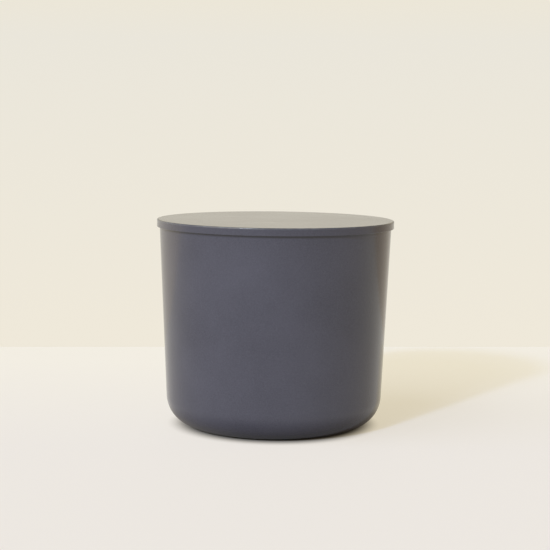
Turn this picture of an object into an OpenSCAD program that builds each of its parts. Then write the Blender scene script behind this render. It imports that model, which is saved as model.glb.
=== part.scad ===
// Three-wick candle in a drawn steel tin, closed by a plug lid on a silicone seal.
// Millimetres, +Z up, origin on the floor at the centre of the base.

/* [Whole object] */
// Diameter over the lid's skirt
lid_d = 102; // [100:0.5:106]
// Height of the closed tin
total_h = 89; // [80:1:110]

/* [Tin body] */
// Diameter of the wall where it meets the lid's lower edge
mouth_d = 99.7; // [98.5:0.1:99.8]
// Diameter that the drafted wall would reach at the floor
foot_d = 92.2; // [90:0.1:96]
// Radius of the rounded base corner
corner_r = 12.9; // [8:0.1:16]
// Sheet thickness of the tin, paint included
tin_t = 0.6; // [0.4:0.05:0.7]
// Diameter of the inward curl round the mouth
curl_d = 2.3; // [2:0.1:2.6]
// How far the centre of the base is pushed up
base_rise = 1.2; // [0.8:0.1:2]

/* [Lid] */
// Height of the lid's skirt
skirt_h = 3.2; // [2.6:0.1:4]
// Sheet thickness of the outer cap
cap_t = 0.6; // [0.5:0.05:0.7]
// Radius of the cap's top edge
cap_edge_r = 0.5; // [0.2:0.05:0.55]
// Sheet thickness of the inner pan
pan_t = 0.4; // [0.3:0.05:0.5]
// Height of the pan below its flange
pan_h = 8.6; // [7:0.1:12]
// Outer diameter of the pan's cup
pan_d = 93.6; // [90:0.1:94]

/* [Candle] */
// Height of the wax surface above the floor
wax_z = 67; // [50:1:70]
// Radius of the circle that the wicks stand on
wick_circle_r = 20; // [16:0.5:22]
// Diameter of the braided wick
wick_d = 2.6; // [2:0.1:3]
// Length of bare wick above the wax
wick_free = 6; // [4:0.5:8]
// Diameter of the metal wick tab
tab_d = 18; // [15:0.5:20]

/* [Hidden] */
$fn = 96;

wick_count = 3; // the node names above need exactly this many
slip = 0.05; // clearance between parts that move on each other

// Wall of the tin: its line leans out by the draft angle
skirt_z = total_h - skirt_h;
draft = atan((mouth_d - foot_d) / 2 / skirt_z);
corner_x = foot_d / 2 + corner_r * tan(draft) - corner_r / cos(draft);
function wall_r(z) = foot_d / 2 + z * tan(draft);

// Base panel, pushed up inside a standing ring
ring_w = 2.6; // width of the ring that the tin stands on
ring_in = corner_x - ring_w;
panel_r = ring_in - base_rise;
floor_z = base_rise + tin_t;

// Lid, from the top down
flange_z = total_h - cap_t - pan_t;
seal_leg_t = 0.6;
rim_z = flange_z - seal_leg_t - 2 * slip;
curl_r = curl_d / 2;
curl_z = rim_z - curl_r;
curl_x = wall_r(curl_z) - curl_r;
mouth_r = curl_x - curl_r;

// Groove in the pan that holds the seal
groove_depth = 1.6;
groove_h = 3.4;
neck_r = pan_d / 2 - groove_depth;
groove_z = flange_z - groove_h;
pan_z = flange_z - pan_h;
pan_corner = 1.5;
bead_r = 0.6;
pan_rim_w = 9; // flat ring round the raised panel
pan_panel_r = pan_d / 2 - pan_rim_w;
pan_panel_rise = 1;

// Seal: a band with a leg over the rim and two lips
band_t = 1.2;
band_r = neck_r + slip + band_t;
leg_over = 0.5; // how far the leg reaches past the crest of the curl
leg_r = curl_x + leg_over;
lip_gap = 0.12; // between a lip and the curl
lip_r = mouth_r - lip_gap;
lip_pitch = 1;
lip_first = 0.7; // height of the lower lip above the band's foot
lip_root_t = 0.7;
lip_tip_t = 0.25;
lip_bury = 0.2; // how deep a lip reaches into the band

// Wicks and what holds them down
sticker_t = 0.8;
sticker_d = tab_d - 2;
tab_t = 0.3;
tab_z = floor_z + sticker_t;
tab_neck_h = 5;
tab_neck_d = wick_d + 2 * tab_t;
tab_rib_r = 6; // a raised ring that stiffens the tab
tab_rib_top = 0.5; // half the width of the ring's flat top
tab_rib_foot = tab_rib_top + 0.5;
core_d = 1;
wick_top = wax_z + wick_free;
meniscus_w = 1.2; // width of the fillet where the wax climbs the wall
meniscus_r = 1.5;

label_margin = 2;
label_d = 2 * (panel_r - label_margin);
label_t = 0.15;

overshoot = 1; // how far a cutting shape runs past what it cuts

// ---- outlines, as half sections in X (radius) and Y (height) ----

// A drafted cup with a rounded base corner, solid up to height h.
// inset moves the whole outline inwards by the sheet thickness.
module cup_section(h, inset = 0) {
    r = corner_r - inset;
    side = inset / cos(draft);
    polygon([
        [0, inset], [corner_x, inset], [corner_x, corner_r],
        [corner_x + r * cos(draft), corner_r - r * sin(draft)],
        [wall_r(h) - side, h], [0, h]
    ]);
    translate([corner_x, corner_r]) circle(r);
}

// The pushed-up base panel: a low frustum under height top
module panel_section(top, shift = 0) {
    polygon([[0, -overshoot], [0, top], [panel_r + shift, top], [ring_in + shift, top - base_rise],
        [ring_in + shift, -overshoot]]);
}

// The tin's inside, filled up to height h
module cavity_section(h) {
    difference() {
        cup_section(h, tin_t);
        panel_section(floor_z, tin_t / 2);
    }
}

// The cavity filled with wax, which climbs the wall in a small fillet
module wax_section() {
    fillet_x = wall_r(wax_z) - tin_t / cos(draft) - meniscus_w;
    difference() {
        cavity_section(wax_z + meniscus_r);
        translate([0, wax_z]) square([fillet_x, 2 * meniscus_r]);
        translate([fillet_x, wax_z + meniscus_r]) circle(meniscus_r);
    }
}

// A sheet rolled inwards from 12 o'clock past the inside, open towards the wall
module curl_section() {
    curl_end = 270; // angle of the sheet's free edge
    translate([curl_x, curl_z]) difference() {
        circle(curl_r);
        circle(curl_r - tin_t);
        polygon([for (a = [curl_end, 300, 330, 360]) curl_d * [cos(a), sin(a)], [0, 0]]);
    }
}

// A rectangle from the axis out to w, from y0 to y1, with its outer top corner rounded
module plate_section(w, y0, y1, r) {
    translate([0, y0]) square([w, y1 - y0 - r]);
    translate([0, y0]) square([w - r, y1 - y0]);
    translate([w - r, y1 - r]) circle(r);
}

// Points along an arc round centre c
function arc(c, r, from, to, steps = 6) = [
    for (i = [0 : steps]) let (a = from + (to - from) * i / steps) c + r * [cos(a), sin(a)]
];

step_shift = tan(45 / 2); // keeps the sheet's thickness on the 45 degree step

// Outline of the pan's outer skin, from the axis up to the flange, moved into the sheet by inset
function pan_outline(inset) = [
    [0, pan_z + pan_panel_rise + inset],
    [pan_panel_r + inset * step_shift, pan_z + pan_panel_rise + inset],
    [pan_panel_r + pan_panel_rise + inset * step_shift, pan_z + inset],
    for (p = arc([pan_d / 2 - pan_corner, pan_z + pan_corner], pan_corner - inset, -90, 0)) p,
    for (p = arc([pan_d / 2 - bead_r, groove_z - bead_r], max(bead_r - inset, 0.1), 0, 90)) p,
    [neck_r - inset, groove_z - inset],
    [neck_r - inset, flange_z]
];

module pan_section() {
    flange_r = lid_d / 2 - cap_t;
    difference() {
        union() {
            polygon([for (p = pan_outline(0)) p, [0, flange_z]]);
            translate([0, flange_z]) square([flange_r, pan_t]);
        }
        polygon([
            for (p = pan_outline(pan_t)) p,
            [neck_r - pan_t, flange_z + overshoot], [0, flange_z + overshoot]
        ]);
    }
}

// One soft lip, thin at its tip
module lip_section(z) {
    root = band_r - lip_bury;
    polygon([[root, z - lip_root_t / 2], [lip_r, z], [lip_r, z + lip_tip_t], [root, z + lip_root_t / 2]]);
}

module seal_section() {
    top = flange_z - slip;
    bottom = groove_z + slip;
    translate([neck_r + slip, bottom]) square([band_t, top - bottom]);
    translate([neck_r + slip, top - seal_leg_t]) square([leg_r - neck_r - slip, seal_leg_t]);
    for (i = [0, 1]) lip_section(bottom + lip_first + i * lip_pitch);
}

module tab_section() {
    polygon([
        [0, 0], [tab_d / 2, 0], [tab_d / 2, tab_t],
        [tab_rib_r + tab_rib_foot, tab_t], [tab_rib_r + tab_rib_top, 2 * tab_t],
        [tab_rib_r - tab_rib_top, 2 * tab_t], [tab_rib_r - tab_rib_foot, tab_t],
        [tab_neck_d / 2, tab_t], [tab_neck_d / 2, tab_neck_h], [0, tab_neck_h]
    ]);
}

// ---- placing ----

// Puts children where wick number i stands
module at_wick(i) {
    a = 90 + i * 360 / wick_count;
    translate([wick_circle_r * cos(a), wick_circle_r * sin(a), 0]) children();
}

module wick_rod(d, z0 = tab_z) {
    translate([0, 0, z0]) cylinder(d = d, h = wick_top - z0);
}

module tab_blank() {
    translate([0, 0, tab_z]) rotate_extrude() tab_section();
}

module sticker_blank() {
    translate([0, 0, floor_z]) cylinder(d = sticker_d, h = sticker_t);
}

// ---- tin body ----

module tin_body() {
    color("slategray") rotate_extrude() {
        difference() {
            cup_section(curl_z);
            panel_section(base_rise);
            cavity_section(curl_z + overshoot);
        }
        curl_section();
    }
}

module base_label() {
    color("whitesmoke") translate([0, 0, base_rise - label_t]) cylinder(d = label_d, h = label_t);
}

// ---- candle ----

module wax_fill() {
    color("ivory") difference() {
        rotate_extrude() wax_section();
        for (i = [0 : wick_count - 1]) at_wick(i) {
            sticker_blank();
            tab_blank();
            wick_rod(wick_d);
        }
    }
}

module wick_braid(i) {
    color("antiquewhite") at_wick(i) difference() {
        wick_rod(wick_d);
        translate([0, 0, -overshoot]) cylinder(d = core_d, h = wick_top + 2 * overshoot);
    }
}

module wick_core(i) {
    color("white") at_wick(i) wick_rod(core_d);
}

module wick_tab(i) {
    color("silver") at_wick(i) difference() {
        tab_blank();
        cylinder(d = wick_d, h = wick_top);
    }
}

module tab_sticker(i) {
    color("white") at_wick(i) sticker_blank();
}

// ---- lid ----

module lid_cap() {
    color("slategray") rotate_extrude() difference() {
        plate_section(lid_d / 2, skirt_z, total_h, cap_edge_r);
        translate([0, skirt_z - overshoot])
            square([lid_d / 2 - cap_t, skirt_h - cap_t + overshoot]);
    }
}

module lid_pan() {
    color("silver") rotate_extrude() pan_section();
}

module lid_seal() {
    color("gainsboro") rotate_extrude() seal_section();
}

tin_body();
base_label();
wax_fill();
for (i = [0 : wick_count - 1]) {
    wick_braid(i);
    wick_core(i);
    wick_tab(i);
    tab_sticker(i);
}
lid_seal();
lid_cap();
lid_pan();
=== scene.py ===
"""Looks of a lidded candle tin: paint, tinplate, wax, wicks and seal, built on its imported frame.

Outlines are worked out in millimetres, as radius and height about the tin's own axis, and meshes are
made in metres. An outline always has its material on the left as it is followed, so that every
surface turned or swept from it faces outwards.
"""

import logging
import math
from collections.abc import Sequence
from dataclasses import dataclass, field
from enum import Enum

import bpy
import numpy as np
from mathutils import Matrix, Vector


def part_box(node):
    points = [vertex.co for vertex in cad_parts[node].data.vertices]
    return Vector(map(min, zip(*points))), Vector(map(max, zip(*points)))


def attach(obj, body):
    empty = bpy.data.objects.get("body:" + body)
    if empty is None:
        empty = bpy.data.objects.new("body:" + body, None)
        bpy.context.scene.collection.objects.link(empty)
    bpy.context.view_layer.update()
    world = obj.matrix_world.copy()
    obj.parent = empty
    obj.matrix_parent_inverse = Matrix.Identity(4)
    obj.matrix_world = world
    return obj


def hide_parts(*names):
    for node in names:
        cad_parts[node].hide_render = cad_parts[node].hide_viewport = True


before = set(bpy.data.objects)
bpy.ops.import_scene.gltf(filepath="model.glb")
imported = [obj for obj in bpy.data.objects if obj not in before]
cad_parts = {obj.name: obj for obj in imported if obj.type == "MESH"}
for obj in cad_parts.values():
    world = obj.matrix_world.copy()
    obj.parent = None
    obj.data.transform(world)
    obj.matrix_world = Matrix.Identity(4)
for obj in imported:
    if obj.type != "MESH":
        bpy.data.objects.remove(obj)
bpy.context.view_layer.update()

MM = 0.001
TURN = 2 * math.pi
LOG = logging.getLogger("candle_tin")
STRAIGHT = 1e-6  # turns smaller than this, in radians, leave a line straight
ON_AXIS = 1e-9  # radii smaller than this, in millimetres, lie on the axis
Triple = tuple[float, float, float]
Color = Triple
Span = tuple[float, float]
Socket = bpy.types.NodeSocket


class Body(Enum):
    """The bodies that pieces ride on."""

    TIN = "tin"
    SEAL = "seal"
    LID = "lid"


class Slot(Enum):
    """The record's material slots."""

    PAINT = "slate_paint"
    TINPLATE = "tinplate"
    WAX = "wax"
    COTTON = "wick_cotton"
    WICK_PAPER = "wick_paper"
    FOAM = "sticker_foam"
    SILICONE = "silicone"
    LABEL = "label_paper"


# ---------------------------------------------------------------- outlines


def box_mm(node: str) -> tuple[np.ndarray, np.ndarray]:
    """Read a CAD node's box.

    Args:
        node: Name of the node.

    Returns:
        Its lowest and highest corners, in millimetres.
    """
    low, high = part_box(node)
    return np.array(low) / MM, np.array(high) / MM


def arc(centre: Sequence[float], radius: float, start: float, stop: float, steps: int = 10) -> np.ndarray:
    """Make points on a circular arc: centre + radius * (cos a, sin a), a running evenly from start to stop.

    Args:
        centre: Radius and height of the arc's centre.
        radius: Radius of the arc.
        start: First angle, in degrees, counterclockwise from the outward direction.
        stop: Last angle, in degrees.
        steps: Number of spans.

    Returns:
        An array of steps + 1 points.
    """
    a = np.radians(np.linspace(start, stop, steps + 1))
    return np.array(centre) + radius * np.stack([np.cos(a), np.sin(a)], axis=1)


def rounded(corners: Sequence[Sequence[float]], radii: Sequence[float], steps: int = 6) -> np.ndarray:
    """Round the inner corners of an open polyline.

    A corner that turns by t gets an arc of radius r, which touches both sides at r * tan(t / 2) from
    the corner: each point of the arc is the first touching point turned about the arc's centre.

    Args:
        corners: The polyline's points.
        radii: One radius for each point but the first and the last; 0 keeps the corner.
        steps: Number of spans in each arc.

    Returns:
        The rounded polyline's points.
    """
    points = np.array(corners, float)
    parts = [points[:1]]
    for before, corner, after, radius in zip(points, points[1:], points[2:], radii, strict=False):
        come = (corner - before) / np.linalg.norm(corner - before)
        leave = (after - corner) / np.linalg.norm(after - corner)
        turn = math.atan2(come[0] * leave[1] - come[1] * leave[0], float(come @ leave))
        if radius == 0 or abs(turn) < STRAIGHT:
            parts.append(corner[None])
            continue
        touch = corner - come * radius * math.tan(abs(turn) / 2)
        centre = touch + math.copysign(radius, turn) * np.array([-come[1], come[0]])
        a = turn * np.linspace(0, 1, steps + 1)[:, None]
        arm = touch - centre
        parts.append(centre + arm * np.cos(a) + np.array([-arm[1], arm[0]]) * np.sin(a))
    parts.append(points[-1:])
    return np.concatenate(parts)


def supported(outline: np.ndarray, longest: float = 6.0, near: float = 0.12) -> np.ndarray:
    """Divide an outline's long straight spans, and hold their ends with a point close by.

    A span longer than 4 * near gets a point at that distance from each end, which keeps the shading
    of a flat face flat up to its rounded edge, and then evenly spaced points in between.

    Args:
        outline: The outline's points.
        longest: Longest span to leave undivided.
        near: Distance of the holding points from a span's ends.

    Returns:
        The divided outline's points.
    """
    parts = []
    shortest = 4 * near
    for start, stop in zip(outline, outline[1:], strict=False):
        length = float(np.linalg.norm(stop - start))
        if length < shortest:
            parts.append(start[None])
            continue
        inner = np.linspace(near / length, 1 - near / length, max(2, math.ceil(length / longest) + 1))
        share = np.concatenate([[0], inner])[:, None]
        parts.append(start + share * (stop - start))
    parts.append(outline[-1:])
    return np.concatenate(parts)


def left_normals(outline: np.ndarray) -> np.ndarray:
    """Find an outline's unit normals: the slope between a point's neighbours, turned left by 90 degrees.

    Args:
        outline: The outline's points.

    Returns:
        A normal for each point.
    """
    slope = np.gradient(outline, axis=0)
    normal = np.stack([-slope[:, 1], slope[:, 0]], axis=1)
    return normal / np.linalg.norm(normal, axis=1, keepdims=True)


def sheet_section(outline: np.ndarray, thickness: float, skip: float = 0.0) -> np.ndarray:
    """Give an outline the thickness of a sheet: the outline, then the same line moved left, followed back.

    Args:
        outline: The sheet's outer skin, with the sheet on its left.
        thickness: Distance from the outer skin to the inner one.
        skip: How far inside the outline the section starts, for a sheet under a film.

    Returns:
        The section's points; the last joins the first.
    """
    normal = left_normals(outline)
    return np.concatenate([outline + skip * normal, (outline + thickness * normal)[::-1]])


# ---------------------------------------------------------------- surfaces


@dataclass
class Surface:
    """A mesh in the making: vertices in millimetres, faces, and a UV pair for each face corner."""

    vertices: np.ndarray
    faces: list[list[int]]
    uvs: np.ndarray | None = None

    def piece(self, name: str, material: bpy.types.Material, body: Body, slot: Slot,
              *nodes: str) -> bpy.types.Object:
        """Make the surface an object that rides on a body and stands for CAD nodes.

        Args:
            name: Name of the piece.
            material: Its material.
            body: The body that it rides on.
            slot: The record's slot that its finish belongs to; not used.
            nodes: The CAD nodes that it stands for.

        Returns:
            The new object.
        """
        mesh = bpy.data.meshes.new(name)
        mesh.from_pydata(self.vertices * MM, [], self.faces)
        if self.uvs is not None:
            layer = mesh.uv_layers.new(name="surface")
            layer.data.foreach_set("uv", self.uvs.astype(np.float32).ravel())
        mesh.polygons.foreach_set("use_smooth", np.ones(len(mesh.polygons), bool))
        mesh.materials.append(material)
        mesh.validate()
        piece = bpy.data.objects.new(name, mesh)
        bpy.context.scene.collection.objects.link(piece)
        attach(piece, body.value)
        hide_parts(*nodes)
        LOG.info("%s: %d faces on %s", name, len(mesh.polygons), body.value)
        return piece


def turned(section: np.ndarray, around: int = 240) -> Surface:
    """Turn a section about the tin's axis: (r cos a, r sin a, z) on a grid of section points and angles.

    A section that starts and ends on the axis closes there in two poles. Any other is a loop, whose
    last point joins its first. The UV map holds the share of the turn and the way along the section.

    Args:
        section: Radius and height of each point, with the material on the left.
        around: Number of spans round the axis.

    Returns:
        The closed surface.
    """
    poled = abs(section[0, 0]) < ON_AXIS and abs(section[-1, 0]) < ON_AXIS
    ring = section[1:-1] if poled else section
    a = np.arange(around) * TURN / around
    r, z = ring[:, :1], np.repeat(ring[:, 1:], around, axis=1)
    grid = np.stack([r * np.cos(a), r * np.sin(a), z], axis=2).reshape(-1, 3)
    rows, columns = np.meshgrid(np.arange(len(ring) - poled), np.arange(around), indexing="ij")
    above, beside = (rows + 1) % len(ring), (columns + 1) % around
    quads = np.stack([rows * around + columns, rows * around + beside, above * around + beside,
                      above * around + columns], axis=2).reshape(-1, 4)
    steps = np.linalg.norm(np.diff(section, axis=0, append=section[:1]), axis=1)
    way = np.concatenate([[0], np.cumsum(steps)])[int(poled):]
    share = np.stack([columns, columns + 1, columns + 1, columns], axis=2) / around
    along = np.stack([way[rows], way[rows], way[rows + 1], way[rows + 1]], axis=2)
    uvs = np.stack([share, along * MM], axis=3).reshape(-1, 2)
    if not poled:
        return Surface(grid, quads.tolist(), uvs)
    first, last = len(grid), len(grid) + 1
    here, there = np.arange(around), (np.arange(around) + 1) % around
    top = (len(ring) - 1) * around
    start_fan = np.stack([np.full(around, first), there, here], axis=1)
    stop_fan = np.stack([np.full(around, last), top + here, top + there], axis=1)
    poles = np.stack([[0, 0, section[0, 1]], [0, 0, section[-1, 1]]])
    middle, left, right = (here + 0.5) / around, here / around, (here + 1) / around
    tip = np.zeros(around)
    start_uv = np.stack([middle, tip, right, tip + way[0] * MM, left, tip + way[0] * MM], axis=1)
    end = tip + way[len(ring) - 1] * MM
    stop_uv = np.stack([middle, end + steps[-2] * MM, left, end, right, end], axis=1)
    uvs = np.concatenate([uvs, start_uv.reshape(-1, 2), stop_uv.reshape(-1, 2)])
    faces = quads.tolist() + start_fan.tolist() + stop_fan.tolist()
    return Surface(np.concatenate([grid, poles]), faces, uvs)


def swept(paths: np.ndarray, out: np.ndarray, half_width: np.ndarray, half_depth: np.ndarray,
          sides: int = 8) -> Surface:
    """Sweep a flattened round section along several paths at once.

    Each ring is path + half_width * cos(s) * across + half_depth * sin(s) * outward, where outward is
    the given direction made square to the path, and across is square to both. Each end closes in a point.

    Args:
        paths: Points of each path, as (path, point, 3).
        out: Direction that the section's depth follows, shaped as the paths.
        half_width: Half the section's width at each point of a path.
        half_depth: Half the section's depth at each point of a path.
        sides: Number of spans round the section.

    Returns:
        The closed surface, with the share of the turn and the way along the path as its UV map.
    """
    tangent = np.gradient(paths, axis=1)
    tangent /= np.linalg.norm(tangent, axis=2, keepdims=True)
    outward = out - tangent * np.sum(out * tangent, axis=2, keepdims=True)
    outward /= np.linalg.norm(outward, axis=2, keepdims=True)
    across = np.cross(tangent, outward)
    s = (np.arange(sides) * TURN / sides)[:, None]
    spread = (half_width[:, None, None] * np.cos(s), half_depth[:, None, None] * np.sin(s))
    rings = paths[:, :, None] + spread[0] * across[:, :, None] + spread[1] * outward[:, :, None]
    count, length = paths.shape[:2]
    index = np.arange(count * length * sides).reshape(count, length, sides)
    beside = np.roll(index, -1, axis=2)
    quads = np.stack([index[:, :-1], beside[:, :-1], beside[:, 1:], index[:, 1:]], axis=3).reshape(-1, 4)
    ends = np.arange(count * 2).reshape(count, 2, 1) + index.size
    first = np.stack(np.broadcast_arrays(ends[:, 0], beside[:, 0], index[:, 0]), axis=2).reshape(-1, 3)
    last = np.stack(np.broadcast_arrays(ends[:, 1], index[:, -1], beside[:, -1]), axis=2).reshape(-1, 3)
    vertices = np.concatenate([rings.reshape(-1, 3), paths[:, [0, -1]].reshape(-1, 3)])
    step = np.linalg.norm(np.diff(paths, axis=1), axis=2)
    way = np.concatenate([np.zeros((count, 1)), np.cumsum(step, axis=1)], axis=1)
    share = np.arange(sides) / sides
    u = np.stack([share, share + 1 / sides, share + 1 / sides, share], axis=1)
    u = np.broadcast_to(u, (count, length - 1, sides, 4))
    v = np.stack([way[:, :-1], way[:, :-1], way[:, 1:], way[:, 1:]], axis=2)[:, :, None]
    uvs = np.stack([u, np.broadcast_to(v, u.shape) * MM], axis=4).reshape(-1, 2)
    caps = np.zeros((len(first) + len(last), 3, 2))
    return Surface(vertices, quads.tolist() + first.tolist() + last.tolist(),
                   np.concatenate([uvs, caps.reshape(-1, 2)]))


# ---------------------------------------------------------------- materials


@dataclass
class Graph:
    """A node tree, with short ways to add nodes and join them."""

    tree: bpy.types.NodeTree

    def feed(self, node: bpy.types.Node, inputs: dict[str | int, object]) -> None:
        """Give a node's inputs their values, or join them to the sockets that drive them.

        Args:
            node: The node.
            inputs: Values or source sockets, by the input's name or number.
        """
        for name, value in inputs.items():
            if isinstance(value, Socket):
                self.tree.links.new(value, node.inputs[name])
            else:
                node.inputs[name].default_value = value

    def node(self, kind: str, inputs: dict[str | int, object] | None = None,
             **settings: object) -> bpy.types.Node:
        """Add a node.

        Args:
            kind: Last part of the node's type, such as TexNoise.
            inputs: Values or source sockets for the node's inputs, by name or number.
            settings: Values for the node's own properties.

        Returns:
            The new node.
        """
        new = self.tree.nodes.new(f"ShaderNode{kind}")
        for name, value in settings.items():
            setattr(new, name, value)
        self.feed(new, inputs or {})
        return new

    def math(self, operation: str, *values: object) -> Socket:
        """Add a Math node on these values or sockets and give its result."""
        return self.node("Math", dict(enumerate(values)), operation=operation).outputs[0]

    def length(self, *parts: Socket) -> Socket:
        """Length of the vector with these parts."""
        vector = self.node("CombineXYZ", dict(enumerate(parts))).outputs[0]
        return self.node("VectorMath", {0: vector}, operation="LENGTH").outputs["Value"]

    def noise(self, place: Socket, scale: object, detail: float, roughness: float = 0.5) -> Socket:
        """Add a noise texture at a scale, with finer octaves over it, and give its height."""
        inputs = {"Vector": place, "Scale": scale, "Detail": detail, "Roughness": roughness}
        return self.node("TexNoise", inputs).outputs[0]

    def blend(self, share: object, low: Color | Socket, high: Color | Socket) -> Socket:
        """Mix two colours by a share from 0 to 1 and give the result."""
        sides = [side if isinstance(side, Socket) else (*side, 1) for side in (low, high)]
        return self.node("Mix", {0: share, 6: sides[0], 7: sides[1]}, data_type="RGBA").outputs[2]

    def mapped(self, value: Socket, start: object, stop: object, low: float = 0.0, high: float = 1.0,
               smooth: bool = False) -> Socket:
        """Run a number from low to high as a value goes from start to stop, and hold it outside them.

        Args:
            value: The value that is followed.
            start: Where the number starts to change, as a number or a socket.
            stop: Where it stops, as a number or a socket.
            low: The number up to start.
            high: The number from stop on.
            smooth: Whether it eases in and out.

        Returns:
            The number.
        """
        inputs = {"Value": value, "From Min": start, "From Max": stop, "To Min": low, "To Max": high}
        ease = "SMOOTHSTEP" if smooth else "LINEAR"
        return self.node("MapRange", inputs, interpolation_type=ease).outputs[0]

    def between(self, share: Socket, low: float, high: float) -> Socket:
        """Run a number from low to high as a share goes from 0 to 1."""
        return self.mapped(share, 0.0, 1.0, low, high)

    def toward(self, share: Socket, low: Socket, high: float) -> Socket:
        """Move a number by a share of its way to a fixed one."""
        return self.math("MULTIPLY_ADD", share, self.math("SUBTRACT", high, low), low)


@dataclass
class Group(Graph):
    """A shader node group under construction, which takes named inputs and gives one number."""

    given: bpy.types.Node
    result: bpy.types.Node

    def take(self, name: str) -> Socket:
        """Give one of the group's inputs."""
        return self.given.outputs[name]

    def give(self, number: Socket) -> bpy.types.NodeTree:
        """Make a number the group's output, and give the finished group."""
        self.feed(self.result, {0: number})
        return self.tree


def new_group(name: str, output: str, **inputs: float | None) -> Group:
    """Make an empty shader node group.

    Args:
        name: Name of the group.
        output: Name of its output.
        inputs: Default of each input by name; None makes the input a vector.

    Returns:
        The group under construction.
    """
    tree = bpy.data.node_groups.new(name, "ShaderNodeTree")
    for label, default in inputs.items():
        kind = "NodeSocketVector" if default is None else "NodeSocketFloat"
        socket = tree.interface.new_socket(label, in_out="INPUT", socket_type=kind)
        if default is not None:
            socket.default_value = default
    tree.interface.new_socket(output, in_out="OUTPUT", socket_type="NodeSocketFloat")
    return Group(tree, tree.nodes.new("NodeGroupInput"), tree.nodes.new("NodeGroupOutput"))


def grain_group(fine_share: float = 0.35) -> bpy.types.NodeTree:
    """Make the fine grain that coatings, paper and rubber share: soft pimples with finer noise over them.

    Args:
        fine_share: Height of the finer noise, as a share of the soft one's.

    Returns:
        The group, which gives a height.
    """
    group = new_group("fine_grain", "Height", Vector=None, Scale=1200.0, Fineness=5.0)
    soft = group.noise(group.take("Vector"), group.take("Scale"), detail=1.0)
    finer = group.math("MULTIPLY", group.take("Scale"), group.take("Fineness"))
    fine = group.noise(group.take("Vector"), finer, detail=2.0)
    return group.give(group.math("MULTIPLY_ADD", fine, fine_share, soft))


def mottle_group(thin: float = 0.3, dense: float = 0.7) -> bpy.types.NodeTree:
    """Make the soft uneven patches that every finish shares.

    Args:
        thin: Height of the noise up to which the mask is 0.
        dense: Height of the noise from which the mask is 1.

    Returns:
        The group, which gives a mask from 0 to 1.
    """
    group = new_group("mottle", "Mask", Vector=None, Scale=40.0)
    cloud = group.noise(group.take("Vector"), group.take("Scale"), detail=4.0, roughness=0.55)
    return group.give(group.mapped(cloud, thin, dense))


def lines_group() -> bpy.types.NodeTree:
    """Make the fine parallel lines of drawn sheet and of fibres: noise stretched by a scale vector.

    Returns:
        The group, which gives a mask.
    """
    group = new_group("drawn_lines", "Mask", Vector=None, Stretch=None)
    sides = {0: group.take("Vector"), 1: group.take("Stretch")}
    stretched = group.node("VectorMath", sides, operation="MULTIPLY").outputs[0]
    return group.give(group.noise(stretched, 1.0, detail=3.0, roughness=0.6))


def ring_group() -> bpy.types.NodeTree:
    """Make a band round the Z axis: 1 on the circle at a radius and height, 0 a width away from it.

    Returns:
        The group, which gives a mask from 0 to 1.
    """
    group = new_group("ring_band", "Mask", Vector=None, Radius=0.05, Height=0.0, Width=0.001)
    place = group.node("SeparateXYZ", {0: group.take("Vector")}).outputs
    out = group.length(place["X"], place["Y"])
    aside = group.math("SUBTRACT", out, group.take("Radius"))
    above = group.math("SUBTRACT", place["Z"], group.take("Height"))
    away = group.length(aside, above)
    return group.give(group.mapped(away, 0.0, group.take("Width"), 1.0, 0.0, smooth=True))


@dataclass
class Effects:
    """The node groups that the finishes share."""

    grain: bpy.types.NodeTree = field(default_factory=grain_group)
    mottle: bpy.types.NodeTree = field(default_factory=mottle_group)
    lines: bpy.types.NodeTree = field(default_factory=lines_group)
    ring: bpy.types.NodeTree = field(default_factory=ring_group)


@dataclass
class Coat:
    """One material under construction: its graph, its Principled shader and its coordinates."""

    name: str
    effects: Effects

    def __post_init__(self) -> None:
        """Make the material with a Principled shader and the two coordinate sockets."""
        self.material = bpy.data.materials.new(self.name)
        self.material.use_nodes = True
        self.graph = Graph(self.material.node_tree)
        self.graph.tree.nodes.clear()
        self.shader = self.graph.node("BsdfPrincipled")
        self.graph.node("OutputMaterial", {"Surface": self.shader.outputs[0]})
        coordinates = self.graph.node("TexCoord").outputs
        self.place, self.surface = coordinates["Object"], coordinates["UV"]

    def set(self, **values: object) -> None:
        """Set or drive the shader's own sockets; an underscore stands for a space."""
        self.graph.feed(self.shader, {name.replace("_", " "): value for name, value in values.items()})

    def effect(self, tree: bpy.types.NodeTree, place: Socket, **inputs: object) -> Socket:
        """Place one of the shared groups on some coordinates and give its output."""
        return self.graph.node("Group", {"Vector": place, **inputs}, node_tree=tree).outputs[0]

    def mottle(self, scale: float) -> Socket:
        """Mask of soft uneven patches at a scale."""
        return self.effect(self.effects.mottle, self.place, Scale=scale)

    def ring(self, radius: float, height: float, width: float) -> Socket:
        """Mask of the band round the Z axis at a radius and a height, all in metres."""
        return self.effect(self.effects.ring, self.place, Radius=radius, Height=height, Width=width)

    def bump(self, height: Socket, depth: float) -> None:
        """Raise the surface by a height from 0 to 1, over any bump set before.

        Args:
            height: The height.
            depth: Rise at a height of 1, in metres.
        """
        inputs = {"Height": height, "Distance": depth, "Strength": 1.0}
        if self.shader.inputs["Normal"].is_linked:
            inputs["Normal"] = self.shader.inputs["Normal"].links[0].from_socket
        self.set(Normal=self.graph.node("Bump", inputs).outputs[0])

    def grain(self, scale: float, depth: float) -> None:
        """Raise the fine grain at a scale, up to a depth in metres."""
        self.bump(self.effect(self.effects.grain, self.place, Scale=scale), depth)


@dataclass(frozen=True)
class Finish:
    """A finish of the object. Each kind sets up its own shader in its dress method."""

    name: str

    def make(self, effects: Effects) -> bpy.types.Material:
        """Build the finish's material.

        Args:
            effects: The shared node groups.

        Returns:
            The new material.
        """
        coat = Coat(self.name, effects)
        self.dress(coat)
        return coat.material

    def dress(self, coat: Coat) -> None:
        """Leave the shader as it is; every kind of finish does more."""


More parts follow.
